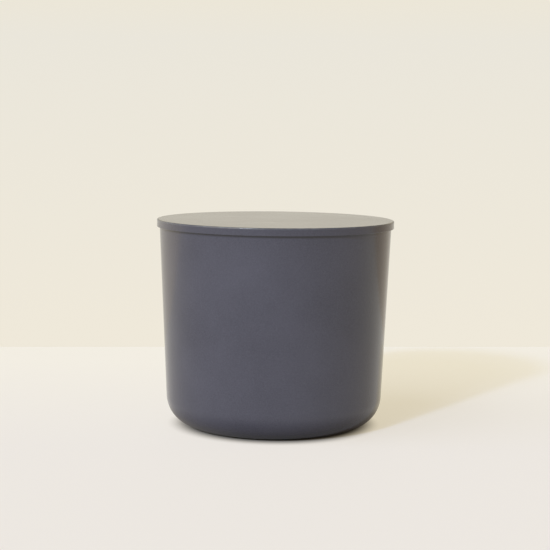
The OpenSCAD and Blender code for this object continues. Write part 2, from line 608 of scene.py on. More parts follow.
@dataclass(frozen=True)
class PowderPaint(Finish):
    """Matte slate-blue powder coat, baked on: a faint orange peel with a finer grain over it.

    A near-black band painted round the body just under the lid's skirt is painted shadow of the skirt.
    The lid's edge is painted lighter, as wear and as a painted highlight; the ring it stands on carries
    scuffs.
    Each of those bands is a radius, a height and a width in metres.
    """

    name: str = "slate_powder_paint"
    light: Color = (0.035, 0.0345, 0.0525)
    dark: Color = (0.023, 0.0225, 0.0365)
    fleck: Color = (0.064, 0.0635, 0.087)
    # painted shadow: near-black colour of the band just under the lid's skirt
    painted_skirt_shadow: Color = (0.005, 0.005, 0.009)
    # lighter scuffs; on the lid's edge this is also a painted highlight
    scuff_and_highlight: Color = (0.125, 0.13, 0.155)
    roughness: Span = (0.14, 0.17)
    scuffed_roughness: float = 0.4
    ior: float = 1.58
    patch_scale: float = 28.0
    scuff_scale: float = 550.0
    scuff_share: Span = (0.25, 0.65)
    fleck_scale: float = 1900.0
    fleck_share: float = 0.3
    peel_scale: float = 1100.0
    peel_depth: float = 12e-6
    # where the painted shadow of the lid's skirt lies on the body
    skirt_shadow_band: Triple = (0.0494, 0.0854, 0.0010)
    # band on the lid's top edge: wear and a painted highlight
    lid_edge_wear_and_highlight: Triple = (0.0508, 0.0888, 0.0007)
    foot_ring: Triple = (0.0325, 0.0, 0.0018)

    def dress(self, coat: Coat) -> None:
        """Set up the paint's shader.

        Args:
            coat: The material under construction.
        """
        graph = coat.graph
        patches = coat.mottle(self.patch_scale)
        # the lid's edge band is wear and a painted highlight; the foot ring's band is wear
        edges = graph.math("MAXIMUM", coat.ring(*self.lid_edge_wear_and_highlight), coat.ring(*self.foot_ring))
        broken = graph.between(coat.mottle(self.scuff_scale), *self.scuff_share)
        scuff_and_highlight_share = graph.math("MULTIPLY", edges, broken)
        flecks = graph.math("MULTIPLY", coat.mottle(self.fleck_scale), self.fleck_share)
        speckled = graph.blend(flecks, graph.blend(patches, self.dark, self.light), self.fleck)
        # painted shadow of the lid's skirt: a near-black band round the top of the body
        painted_skirt_shadow = graph.blend(coat.ring(*self.skirt_shadow_band), speckled, self.painted_skirt_shadow)
        coat.set(Base_Color=graph.blend(scuff_and_highlight_share, painted_skirt_shadow, self.scuff_and_highlight), IOR=self.ior)
        smooth = graph.between(patches, *self.roughness)
        coat.set(Roughness=graph.toward(scuff_and_highlight_share, smooth, self.scuffed_roughness))
        coat.grain(self.peel_scale, self.peel_depth)


@dataclass(frozen=True)
class Tinplate(Finish):
    """Lacquered tinplate: satin steel with fine lines left by drawing or rolling, along one axis."""

    stretch: Triple
    color: Color = (0.66, 0.645, 0.61)
    shade: Color = (0.55, 0.54, 0.515)
    roughness: Span = (0.24, 0.38)
    patch_scale: float = 55.0
    unevenness: Span = (0.7, 1.3)
    line_depth: float = 4e-6

    def dress(self, coat: Coat) -> None:
        """Set up the sheet's shader.

        Args:
            coat: The material under construction.
        """
        graph = coat.graph
        lines = coat.effect(coat.effects.lines, coat.place, Stretch=self.stretch)
        spread = graph.between(coat.mottle(self.patch_scale), *self.unevenness)
        uneven = graph.math("MULTIPLY", lines, spread)
        coat.set(Base_Color=graph.blend(uneven, self.shade, self.color), Metallic=1.0,
                 Roughness=graph.between(uneven, *self.roughness))
        coat.bump(lines, self.line_depth)


@dataclass(frozen=True)
class PouredWax(Finish):
    """Poured vegetable wax: ivory, softly translucent, with frosted patches and a few pinholes."""

    name: str = "poured_wax"
    light: Color = (0.89, 0.83, 0.70)
    deep: Color = (0.84, 0.765, 0.615)
    frost: Color = (0.93, 0.91, 0.86)
    # painted shade: the darker colour inside the pinholes
    pinhole_shade: Color = (0.62, 0.53, 0.38)
    roughness: Span = (0.30, 0.46)
    frost_roughness: float = 0.75
    patch_scale: float = 70.0
    patch_depth: float = 80e-6
    frost_scale: float = 60.0
    frost_from: float = 0.5
    crystal_scale: float = 900.0
    crystal_share: Span = (0.35, 1.0)
    crystal_depth: float = 22e-6
    pinhole_scale: float = 260.0
    pinhole_size: Span = (0.05, 0.11)
    pinhole_rarity: float = 0.82
    pinhole_depth: float = 150e-6
    translucency: float = 0.5
    bleed: Color = (1.0, 0.7, 0.45)
    bleed_reach: float = 2.0 * MM
    ior: float = 1.44

    def frosting(self, coat: Coat) -> Socket:
        """Break cloudy patches up by feathery crystals.

        Args:
            coat: The material under construction.

        Returns:
            The share of frosting, from 0 to 1.
        """
        patch = coat.graph.mapped(coat.mottle(self.frost_scale), self.frost_from, 1.0)
        fine = coat.graph.between(coat.mottle(self.crystal_scale), *self.crystal_share)
        return coat.graph.math("MULTIPLY", patch, fine)

    def pinholes(self, coat: Coat) -> Socket:
        """Choose the few cells of a Voronoi pattern that hold a pinhole.

        Args:
            coat: The material under construction.

        Returns:
            A mask that is 1 in the middle of a pinhole.
        """
        graph = coat.graph
        cells = graph.node("TexVoronoi", {"Vector": coat.place, "Scale": self.pinhole_scale}).outputs
        spot = graph.mapped(cells["Distance"], *self.pinhole_size, 1.0, 0.0)
        dice = graph.node("SeparateColor", {0: cells["Color"]}).outputs[0]
        return graph.math("MULTIPLY", spot, graph.math("GREATER_THAN", dice, self.pinhole_rarity))

    def dress(self, coat: Coat) -> None:
        """Set up the wax's shader.

        Args:
            coat: The material under construction.
        """
        graph = coat.graph
        patches = coat.mottle(self.patch_scale)
        frost, pits = self.frosting(coat), self.pinholes(coat)
        frosted = graph.blend(frost, graph.blend(patches, self.deep, self.light), self.frost)
        skin = graph.between(patches, *self.roughness)
        # the pinholes are painted darker, as shade in the pits
        coat.set(Base_Color=graph.blend(pits, frosted, self.pinhole_shade), IOR=self.ior,
                 Roughness=graph.toward(frost, skin, self.frost_roughness))
        coat.set(Subsurface_Weight=self.translucency, Subsurface_Radius=self.bleed,
                 Subsurface_Scale=self.bleed_reach)
        coat.bump(patches, self.patch_depth)
        coat.bump(frost, self.crystal_depth)
        coat.bump(graph.math("SUBTRACT", 1.0, pits), self.pinhole_depth)


@dataclass(frozen=True)
class Fibres(Finish):
    """Waxed yarn or twisted paper: fine fibres that run along the piece, read from its own UV map."""

    light: Color
    dark: Color
    around: float
    along: float
    depth: float = 25e-6
    patch_scale: float = 400.0
    patch_share: float = 0.3
    fibre_share: float = 0.8
    roughness: Span = (0.55, 0.75)
    translucency: float = 0.2
    bleed_reach: float = 0.5 * MM
    sheen: float = 0.15

    def dress(self, coat: Coat) -> None:
        """Set up the fibres' shader.

        Args:
            coat: The material under construction.
        """
        graph = coat.graph
        fibres = coat.effect(coat.effects.lines, coat.surface, Stretch=(self.around, self.along, 1.0))
        patches = coat.mottle(self.patch_scale)
        paler = graph.math("MULTIPLY", fibres, self.fibre_share)
        share = graph.math("MULTIPLY_ADD", patches, self.patch_share, paler)
        coat.set(Base_Color=graph.blend(share, self.dark, self.light),
                 Roughness=graph.between(patches, *self.roughness))
        coat.set(Subsurface_Weight=self.translucency, Subsurface_Scale=self.bleed_reach,
                 Sheen_Weight=self.sheen)
        coat.bump(fibres, self.depth)


@dataclass(frozen=True)
class SoftSolid(Finish):
    """A plain soft stock, such as silicone or foam: two close shades with a grain over them."""

    light: Color
    dark: Color
    roughness: Span
    patch_scale: float
    grain_scale: float
    grain_depth: float
    translucency: float = 0.0
    bleed_reach: float = 1.5 * MM

    def dress(self, coat: Coat) -> None:
        """Set up the stock's shader.

        Args:
            coat: The material under construction.
        """
        patches = coat.mottle(self.patch_scale)
        coat.set(Base_Color=coat.graph.blend(patches, self.dark, self.light),
                 Roughness=coat.graph.between(patches, *self.roughness))
        coat.set(Subsurface_Weight=self.translucency, Subsurface_Scale=self.bleed_reach)
        coat.grain(self.grain_scale, self.grain_depth)


@dataclass(frozen=True)
class PrintedPaper(Finish):
    """The base label: uncoated paper with a printed border and plain rules where its lines would be."""

    name: str = "printed_paper"
    light: Color = (0.84, 0.81, 0.74)
    dark: Color = (0.77, 0.735, 0.66)
    ink: Color = (0.10, 0.10, 0.13)
    worn_ink: Span = (0.75, 1.0)
    roughness: Span = (0.7, 0.85)
    patch_scale: float = 200.0
    fibre_scale: float = 3000.0
    fibre_depth: float = 12e-6
    border_r: float = 0.0265
    border_w: float = 0.0004
    border_edge: float = 0.3
    rule_pitch: float = 0.0042
    rule_h: float = 0.0007
    rule_half: float = 0.0135
    rules_half: float = 0.0142
    ragged_scale: float = 90.0
    shortest_rule: float = 0.7

    def rules(self, coat: Coat) -> Socket:
        """Rule a square block: the Y coordinate's wave gives the lines, and a mottle their ragged ends.

        Args:
            coat: The material under construction.

        Returns:
            A mask that is 1 on the rules.
        """
        graph = coat.graph
        place = graph.node("SeparateXYZ", {0: coat.place}).outputs
        step = graph.math("PINGPONG", place["Y"], self.rule_pitch / 2)
        line = graph.math("LESS_THAN", step, self.rule_h / 2)
        shortest = self.shortest_rule * self.rule_half
        reach = graph.between(coat.mottle(self.ragged_scale), shortest, self.rule_half)
        across = graph.math("LESS_THAN", graph.math("ABSOLUTE", place["X"]), reach)
        along = graph.math("LESS_THAN", graph.math("ABSOLUTE", place["Y"]), self.rules_half)
        return graph.math("MULTIPLY", line, graph.math("MULTIPLY", across, along))

    def dress(self, coat: Coat) -> None:
        """Set up the label's shader.

        Args:
            coat: The material under construction.
        """
        graph = coat.graph
        patches = coat.mottle(self.patch_scale)
        circle = coat.ring(self.border_r, box_mm("base_label")[0][2] * MM, self.border_w)
        border = graph.math("GREATER_THAN", circle, self.border_edge)
        printed = graph.math("MAXIMUM", border, self.rules(coat))
        worn = graph.math("MULTIPLY", printed, graph.between(patches, *self.worn_ink))
        paper = graph.blend(patches, self.dark, self.light)
        coat.set(Base_Color=graph.blend(worn, paper, self.ink),
                 Roughness=graph.between(patches, *self.roughness))
        coat.grain(self.fibre_scale, self.fibre_depth)


@dataclass
class Palette:
    """Every finish of the object, made once."""

    effects: Effects = field(default_factory=Effects)

    def __post_init__(self) -> None:
        """Make the materials."""
        made = self.effects
        self.paint = PowderPaint().make(made)
        self.drawn_tinplate = Tinplate("drawn_tinplate", (900.0, 900.0, 25.0)).make(made)
        self.rolled_tinplate = Tinplate("rolled_tinplate", (40.0, 1400.0, 900.0)).make(made)
        self.wax = PouredWax().make(made)
        self.cotton = Fibres("waxed_cotton", light=(0.86, 0.82, 0.72), dark=(0.60, 0.55, 0.45),
                             around=14.0, along=900.0).make(made)
        self.wick_paper = Fibres("twisted_paper", light=(0.88, 0.86, 0.80), dark=(0.70, 0.67, 0.60),
                                 around=10.0, along=500.0).make(made)
        self.silicone = SoftSolid("clear_silicone", light=(0.74, 0.74, 0.72), dark=(0.66, 0.66, 0.64),
                                  roughness=(0.30, 0.42), patch_scale=60.0, grain_scale=1500.0,
                                  grain_depth=4e-6, translucency=0.4).make(made)
        self.foam = SoftSolid("foam_dot", light=(0.86, 0.86, 0.84), dark=(0.78, 0.78, 0.75),
                              roughness=(0.75, 0.9), patch_scale=300.0, grain_scale=2500.0,
                              grain_depth=40e-6).make(made)
        self.label = PrintedPaper().make(made)


# ---------------------------------------------------------------- the tin


@dataclass
class TinShell:
    """The drawn shell: a leaning wall on a rounded corner, a standing ring and a pushed-up panel.

    The sheet rolls inwards at the mouth. Paint covers it from the panel to the end of that curl.
    """

    foot_d: float = 92.2
    corner_r: float = 12.9
    sheet: float = 0.6
    film: float = 0.05
    curl_d: float = 2.3
    base_rise: float = 1.2
    ring_w: float = 2.6
    bend_r: float = 0.9
    label_edge_r: float = 0.05
    mouth_z: float = field(default_factory=lambda: box_mm("tin_body")[1][2])
    widest_r: float = field(default_factory=lambda: box_mm("tin_body")[1][0])

    def __post_init__(self) -> None:
        """Work out the wall's lean and where the curl and the corner sit."""
        self.curl_r = self.curl_d / 2
        self.curl_z = self.mouth_z - self.curl_r
        self.draft = math.atan((self.widest_r - self.foot_d / 2) / self.curl_z)
        lean, slant = math.tan(self.draft), math.cos(self.draft)
        self.corner_x = self.foot_d / 2 + self.corner_r * lean - self.corner_r / slant
        self.curl_x = self.wall_r(self.curl_z) - self.curl_r
        self.floor_z = self.base_rise + self.sheet
        self.ring_in = self.corner_x - self.ring_w

    def wall_r(self, z: float) -> float:
        """Radius of the wall's outside at a height."""
        return self.foot_d / 2 + z * math.tan(self.draft)

    def base_line(self) -> np.ndarray:
        """Outside of the base, from the axis over the panel, its step and the ring, to the corner."""
        corners = [[0, self.base_rise], [self.ring_in - self.base_rise, self.base_rise],
                   [self.ring_in, 0], [self.corner_x, 0]]
        return supported(rounded(corners, [self.bend_r, self.bend_r]))

    def corner_line(self, inset: float = 0.0) -> np.ndarray:
        """Arc of the rounded corner, moved into the sheet by inset."""
        centre = [self.corner_x, self.corner_r]
        return arc(centre, self.corner_r - inset, -90, -math.degrees(self.draft), steps=28)

    def skin(self) -> np.ndarray:
        """Follow the outside of the whole sheet: base, corner arc, leaning wall and the curl's arc.

        Returns:
            Radius and height of its points, from the base's centre to the free edge of the curl.
        """
        corner = self.corner_line()
        wall = supported(np.stack([corner[-1], [self.wall_r(self.curl_z), self.curl_z]]))
        curl = arc([self.curl_x, self.curl_z], self.curl_r, 0, 270, steps=36)
        return np.concatenate([self.base_line()[:-1], corner, wall[1:-1], curl])

    def build(self, palette: Palette) -> list[bpy.types.Object]:
        """Build the painted skin, the bare sheet under it and the base label.

        Args:
            palette: The finishes.

        Returns:
            The three pieces.
        """
        skin = self.skin()
        overlap = self.film / 2
        film = turned(sheet_section(skin, self.film + overlap))
        bare = turned(sheet_section(skin, self.sheet, skip=self.film))
        low, high = box_mm("base_label")
        disc = [[0, low[2]], [high[0], low[2]], [high[0], high[2]], [0, high[2]]]
        label = turned(supported(rounded(disc, [self.label_edge_r] * 2, steps=3)), around=160)
        return [
            film.piece("tin_paint", palette.paint, Body.TIN, Slot.PAINT, "tin_body"),
            bare.piece("tin_sheet", palette.drawn_tinplate, Body.TIN, Slot.TINPLATE, "tin_body"),
            label.piece("label_disc", palette.label, Body.TIN, Slot.LABEL, "base_label"),
        ]


# ---------------------------------------------------------------- the candle


@dataclass
class Wick:
    """One wick: eight waxed strands plaited round a twisted paper core, in a tab on a foam dot.

    A strand stops end_gap below the top, or up to four steps of end_step lower, and over the last
    open_h the plait opens by splay. The crimp narrows the tab's neck by a share of its radius, most
    at crimp_at of its height.
    """

    number: int
    strands: int = 8
    pitch: float = 6.0
    plait_r: float = 0.86
    weave: float = 0.18
    strand_width: float = 0.94
    strand_depth: float = 0.52
    strand_tip: float = 0.35
    end_gap: float = 0.1
    end_step: float = 0.12
    splay: float = 0.12
    open_h: float = 1.5
    rings_per_pitch: int = 26
    twist_pitch: float = 2.5
    twist_ripple: float = 0.07
    core_edges: Span = (0.1, 0.15)
    tab_sheet: float = 0.3
    pressed_sheet: float = 0.28
    rib_r: float = 6.0
    rib_top: float = 0.5
    rib_foot: float = 1.0
    neck_gap: float = 0.05
    neck_bend_r: float = 0.4
    rib_bend_r: float = 0.3
    crimp: float = 0.1
    crimp_at: float = 0.65
    crimp_h: float = 0.9
    crimp_reach: float = 0.6
    dot_bulge: float = 0.2
    dot_edges: Triple = (0.1, 0.4, 0.1)
    held: float = 0.05

    def __post_init__(self) -> None:
        """Read the wick's place off its CAD node."""
        self.low, self.high = box_mm(f"wick_braid_{self.number}")
        self.centre = (self.low[:2] + self.high[:2]) / 2

    def plait(self) -> Surface:
        """Plait the strands.

        Half of them wind one way and half the other: a strand's angle is its own start plus or minus
        the height's share of a full turn, and its radius swings by the weave four times a turn, in
        opposite phase for the two directions, so that they pass over and under each other.

        Returns:
            The plait, with every strand a closed tube.
        """
        k = np.arange(self.strands)
        side = np.where(k % 2 == 0, 1.0, -1.0)[:, None]
        stop = self.high[2] - self.end_gap - self.end_step * (k * 3 % 5)[:, None]
        rings = int((self.high[2] - self.low[2]) / self.pitch * self.rings_per_pitch)
        z = self.low[2] + (stop - self.low[2]) * np.linspace(0, 1, rings)
        turn = z / self.pitch * TURN
        a = side * turn + (k // 2)[:, None] * TURN / 4
        opening = np.clip((z - self.high[2] + self.open_h) / self.open_h, 0, 1) ** 2
        r = self.plait_r + side * self.weave * np.cos(4 * turn) + self.splay * opening
        out = np.stack([np.cos(a), np.sin(a), np.zeros_like(a)], axis=2)
        paths = r[..., None] * out
        paths += np.stack([np.full_like(z, self.centre[0]), np.full_like(z, self.centre[1]), z], axis=2)
        taper = np.clip(np.minimum(np.arange(rings), np.arange(rings)[::-1]) / 2, self.strand_tip, 1)
        return swept(paths, out, self.strand_width / 2 * taper, self.strand_depth / 2 * taper)

    def core(self) -> Surface:
        """Twist the paper core: a turned rod whose radius ripples three times a turn as it climbs.

        Returns:
            The core.
        """
        low, high = box_mm(f"wick_core_{self.number}")
        radius = (high[0] - low[0]) / 2
        rod = [[0, low[2]], [radius, low[2]], [radius, high[2]], [0, high[2]]]
        line = supported(rounded(rod, self.core_edges, steps=4), longest=0.4, near=self.held)
        surface = turned(line, around=24)
        x, y, z = surface.vertices.T
        ripple = 1 + self.twist_ripple * np.cos(3 * np.arctan2(y, x) + TURN * z / self.twist_pitch)
        surface.vertices = np.stack([x * ripple, y * ripple, z], axis=1) + [*self.centre, 0]
        return surface

    def tab(self) -> Surface:
        """Press the tab: a disc with a raised ring and a neck, crimped onto the wick from four sides.

        The crimp draws the neck in by crimp * max(0, cos 4a) squared * a Gaussian of the height.

        Returns:
            The tab.
        """
        low, high = box_mm(f"wick_tab_{self.number}")
        sheet, neck_z, edge = self.tab_sheet, high[2] - low[2], (high[0] - low[0]) / 2
        neck_r = self.high[0] - self.centre[0] + self.neck_gap
        line = [[neck_r, neck_z], [neck_r, sheet],
                [self.rib_r - self.rib_foot, sheet], [self.rib_r - self.rib_top, 2 * sheet],
                [self.rib_r + self.rib_top, 2 * sheet], [self.rib_r + self.rib_foot, sheet], [edge, sheet]]
        upper = rounded(line, [self.neck_bend_r] + [self.rib_bend_r] * 4, steps=4)
        section = sheet_section(supported(upper, near=self.held)[::-1], self.pressed_sheet)
        surface = turned(section, around=72)
        x, y, z = surface.vertices.T
        a = np.arctan2(y, x)
        bell = np.exp(-((z - self.crimp_at * neck_z) / self.crimp_h) ** 2)
        drawn = np.clip(np.cos(4 * a), 0, 1) ** 2 * bell
        squeeze = np.where(np.hypot(x, y) < neck_r + self.crimp_reach, 1 - self.crimp * drawn, 1.0)
        surface.vertices = np.stack([x * squeeze, y * squeeze, z], axis=1) + [*self.centre, low[2]]
        return surface

    def dot(self) -> Surface:
        """Cut the foam dot: a disc whose side bulges a little under the tab.

        Returns:
            The dot.
        """
        low, high = box_mm(f"tab_sticker_{self.number}")
        radius, thick = (high[0] - low[0]) / 2, high[2] - low[2]
        face_r = radius - self.dot_bulge
        line = [[0, 0], [face_r, 0], [radius, thick / 2], [face_r, thick], [0, thick]]
        surface = turned(supported(rounded(line, self.dot_edges, steps=4), near=self.held), around=96)
        surface.vertices += [*self.centre, low[2]]
        return surface

    def build(self, palette: Palette) -> list[bpy.types.Object]:
        """Build the wick's four pieces.

        Args:
            palette: The finishes.

        Returns:
            The plait, the core, the tab and the dot.
        """
        parts = [
            (self.plait(), "wick_plait", palette.cotton, Slot.COTTON, "wick_braid"),
            (self.core(), "wick_paper", palette.wick_paper, Slot.WICK_PAPER, "wick_core"),
            (self.tab(), "wick_holder", palette.rolled_tinplate, Slot.TINPLATE, "wick_tab"),
            (self.dot(), "foam_dot", palette.foam, Slot.FOAM, "tab_sticker"),
        ]
        return [surface.piece(f"{name}_{self.number}", material, Body.TIN, slot, f"{node}_{self.number}")
                for surface, name, material, slot, node in parts]


@dataclass
class Wax:
    """The poured wax: it fills the tin to its level, climbs the wall, and climbs each wick a little.

    Round a wick the top sinks by sink, sink_at out from the wick and over sink_w. The top's mesh is
    in rings of ring_step from top_margin inside the fillet to middle_r. What lies within top_h of the
    level takes the top's shape, which fades out over fade_w towards the wall.
    """

    shell: TinShell
    wicks: list[Wick]
    level: float = 67.0
    fillet_w: float = 1.2
    fillet_r: float = 1.5
    floor_bend_r: float = 1.0
    climb: float = 0.8
    climb_reach: float = 0.9
    climb_gap: float = 0.3
    sink: float = 0.25
    sink_at: float = 7.0
    sink_w: float = 3.0
    wave_h: float = 0.09
    wave_reach: Span = (9.0, 11.0)
    wave_shift: float = 0.6
    top_margin: float = 1.0
    ring_step: float = 0.35
    middle_r: float = 0.3
    fade_w: float = 4.0
    top_h: float = 0.5
    clearance: float = 0.02

    def section(self) -> np.ndarray:
        """Follow the fill's outline: the base's line and corner arc moved inwards, a fillet, and the top.

        Returns:
            Radius and height of its points, from the middle of the floor round to that of the top.
        """
        shell, inset = self.shell, self.shell.sheet + self.clearance
        floor = shell.floor_z + self.clearance
        panel_x = shell.ring_in - shell.base_rise
        bottom = [[0, floor], [panel_x, floor], [shell.ring_in, inset], [shell.corner_x, inset]]
        corner = shell.corner_line(inset)
        wall_x = shell.wall_r(self.level) - inset / math.cos(shell.draft)
        reach = math.degrees(math.asin(self.fillet_w / self.fillet_r)) - 90
        rim_x = wall_x - self.fillet_w
        fillet = arc([rim_x, self.level + self.fillet_r], self.fillet_r, reach, -90, steps=8)
        fillet[0, 0] = wall_x + (fillet[0, 1] - self.level) * math.tan(shell.draft)
        base = supported(rounded(bottom, [self.clearance + self.floor_bend_r, self.floor_bend_r]))
        wall = supported(np.stack([corner[-1], fillet[0]]))
        inner = np.arange(rim_x - self.top_margin, self.middle_r, -self.ring_step)
        rings = np.concatenate([[rim_x], inner, [0]])
        top = np.stack([rings, np.full_like(rings, self.level)], axis=1)
        return np.concatenate([base[:-1], corner, wall[1:-1], fillet[:-1], top])

    def surface_height(self, x: np.ndarray, y: np.ndarray) -> np.ndarray:
        """Height of the top over its level.

        Around each wick the wax stands up by climb * exp(-d / reach), with d the distance from the
        wick's side, and sinks by a shallow Gaussian ring further out. A slow wave runs over it all.

        Args:
            x: Places along X.
            y: Places along Y.

        Returns:
            The heights.
        """
        along, across = self.wave_reach
        wave = self.wave_h * np.sin(x / along + self.wave_shift) * np.cos(y / across)
        for wick in self.wicks:
            out = np.hypot(x - wick.centre[0], y - wick.centre[1])
            d = np.clip(out - wick.plait_r - self.climb_gap, 0, None)
            wave += self.climb * np.exp(-d / self.climb_reach)
            wave -= self.sink * np.exp(-((d - self.sink_at) / self.sink_w) ** 2)
        return wave

    def build(self, palette: Palette) -> bpy.types.Object:
        """Build the wax.

        Args:
            palette: The finishes.

        Returns:
            The piece.
        """
        surface = turned(self.section(), around=320)
        x, y, z = surface.vertices.T
        wall_x = self.shell.wall_r(self.level) - self.shell.sheet
        inside = np.clip((wall_x - np.hypot(x, y)) / self.fade_w, 0, 1)
        on_top = (z > self.level - self.top_h) * inside ** 2 * (3 - 2 * inside)
        surface.vertices[:, 2] += on_top * self.surface_height(x, y)
        return surface.piece("wax_pour", palette.wax, Body.TIN, Slot.WAX, "wax_fill")


# ---------------------------------------------------------------- the lid


@dataclass
class Lid:
    """The lid: a flat painted cap with a short skirt, and a tinplate pan that plugs the mouth."""

    cap_sheet: float = 0.6
    cap_edge_r: float = 0.5
    hem_r: float = 0.12
    pan_sheet: float = 0.4
    pan_d: float = 93.6
    groove_depth: float = 1.6
    groove_h: float = 3.4
    panel_margin: float = 9.0
    panel_rise: float = 1.0
    panel_bend_r: float = 0.6
    plug_corner_r: float = 1.5
    bead_r: float = 0.6
    groove_bend_r: float = 0.3

    def __post_init__(self) -> None:
        """Read the cap's and the pan's places off their CAD nodes."""
        low, high = box_mm("lid_cap")
        self.radius, self.top, self.skirt_z = high[0], high[2], low[2]
        self.pan_z = box_mm("lid_pan")[0][2]
        self.flange_z = self.top - self.cap_sheet - self.pan_sheet

    def cap(self) -> Surface:
        """Turn the cap: a sheet that goes up the skirt, round the edge and in to the axis.

        Returns:
            The cap, with two quarter arcs for its skirt's lower edge.
        """
        low = self.skirt_z + self.hem_r
        corners = [[self.radius, low], [self.radius, self.top], [0, self.top]]
        line = supported(rounded(corners, [self.cap_edge_r], steps=8), near=0.1)
        inner = arc([self.radius - self.cap_sheet + self.hem_r, low], self.hem_r, -180, -90, steps=5)
        outer = arc([self.radius - self.hem_r, low], self.hem_r, -90, 0, steps=5)
        hem = np.concatenate([inner, outer])[1:-1]
        skin = sheet_section(line, self.cap_sheet)
        poled = np.roll(skin, len(skin) - len(line), axis=0)
        return turned(np.concatenate([poled[:len(line)], hem, poled[len(line):]]))

    def pan(self) -> Surface:
        """Turn the pan: a sheet from its raised panel up the plug, into the groove and out to the flange.

        Returns:
            The pan.
        """
        r = self.pan_d / 2
        neck, groove_z = r - self.groove_depth, self.flange_z - self.groove_h
        panel = r - self.panel_margin
        corners = [[0, self.pan_z + self.panel_rise], [panel, self.pan_z + self.panel_rise],
                   [panel + self.panel_rise, self.pan_z], [r, self.pan_z], [r, groove_z],
                   [neck, groove_z], [neck, self.flange_z], [self.radius - self.cap_sheet, self.flange_z]]
        radii = [self.panel_bend_r, self.panel_bend_r, self.plug_corner_r, self.bead_r,
                 self.groove_bend_r, self.groove_bend_r]
        return turned(sheet_section(supported(rounded(corners, radii)), self.pan_sheet))

    def build(self, palette: Palette) -> list[bpy.types.Object]:
        """Build the cap and the pan.

        Args:
            palette: The finishes.

        Returns:
            The two pieces.
        """
        return [
            self.cap().piece("cap_shell", palette.paint, Body.LID, Slot.PAINT, "lid_cap"),
            self.pan().piece("pan_shell", palette.rolled_tinplate, Body.LID, Slot.TINPLATE, "lid_pan"),
        ]


@dataclass
class Seal:
    """The silicone seal: a band in the pan's groove, with a leg over the rim and two soft lips."""

    width: float = 3.97
    band: float = 1.2
    leg: float = 0.6
    lips: int = 2
    lip_pitch: float = 1.0
    lip_first: float = 0.7
    lip_root: float = 0.7
    lip_tip: float = 0.25
    lip_reach: float = 1.0
    band_edge_r: float = 0.15
    lip_edge_r: float = 0.08
    leg_edge_r: float = 0.2

    def section(self) -> np.ndarray:
        """Follow the seal's outline from its inner side, out round the lips and the leg, and back down.

        Returns:
            Radius and height of its points.
        """
        low, high = box_mm("lid_seal")
        bottom, top, leg_r = low[2], high[2], high[0]
        inner = leg_r - self.width
        out = inner + self.band
        corners = [[inner, (bottom + top) / 2], [inner, bottom], [out, bottom]]
        radii = [self.band_edge_r] * 2
        for z in bottom + self.lip_first + self.lip_pitch * np.arange(self.lips):
            tip = out + self.lip_reach
            corners += [[out, z - self.lip_root / 2], [tip, z], [tip, z + self.lip_tip],
                        [out, z + self.lip_root / 2]]
            radii += [self.lip_edge_r] * 4
        corners += [[out, top - self.leg], [leg_r, top - self.leg], [leg_r, top], [inner, top],
                    [inner, (bottom + top) / 2]]
        radii += [self.band_edge_r, self.leg_edge_r, self.leg_edge_r, self.band_edge_r]
        return supported(rounded(corners, radii, steps=5), near=0.06)[:-1]

    def build(self, palette: Palette) -> bpy.types.Object:
        """Build the seal.

        Args:
            palette: The finishes.

        Returns:
            The piece.
        """
        surface = turned(self.section())
        return surface.piece("seal_ring", palette.silicone, Body.SEAL, Slot.SILICONE, "lid_seal")


# ---------------------------------------------------------------- the studio


@dataclass(frozen=True)
class Lamp:
    """A sun-like lamp: even light from one direction, soft by its spread in degrees."""

    name: str
    color: Color
    strength: float
    azimuth: float
    elevation: float
    spread: float
    glints: bool = True

    def hang(self) -> bpy.types.Object:
        """Hang the lamp at its azimuth, from the camera's side round to the right, and its elevation.

        Returns:
            The lamp.
        """
        data = bpy.data.lights.new(self.name, "SUN")
        data.energy, data.color, data.angle = self.strength, self.color, math.radians(self.spread)
        lamp = bpy.data.objects.new(self.name, data)
        turn = Matrix.Rotation(math.radians(self.azimuth), 4, "Z")
        tilt = Matrix.Rotation(math.radians(90 - self.elevation), 4, "X")
        lamp.matrix_world = turn @ tilt
        lamp.visible_glossy = self.glints
        bpy.context.scene.collection.objects.link(lamp)
        return lamp


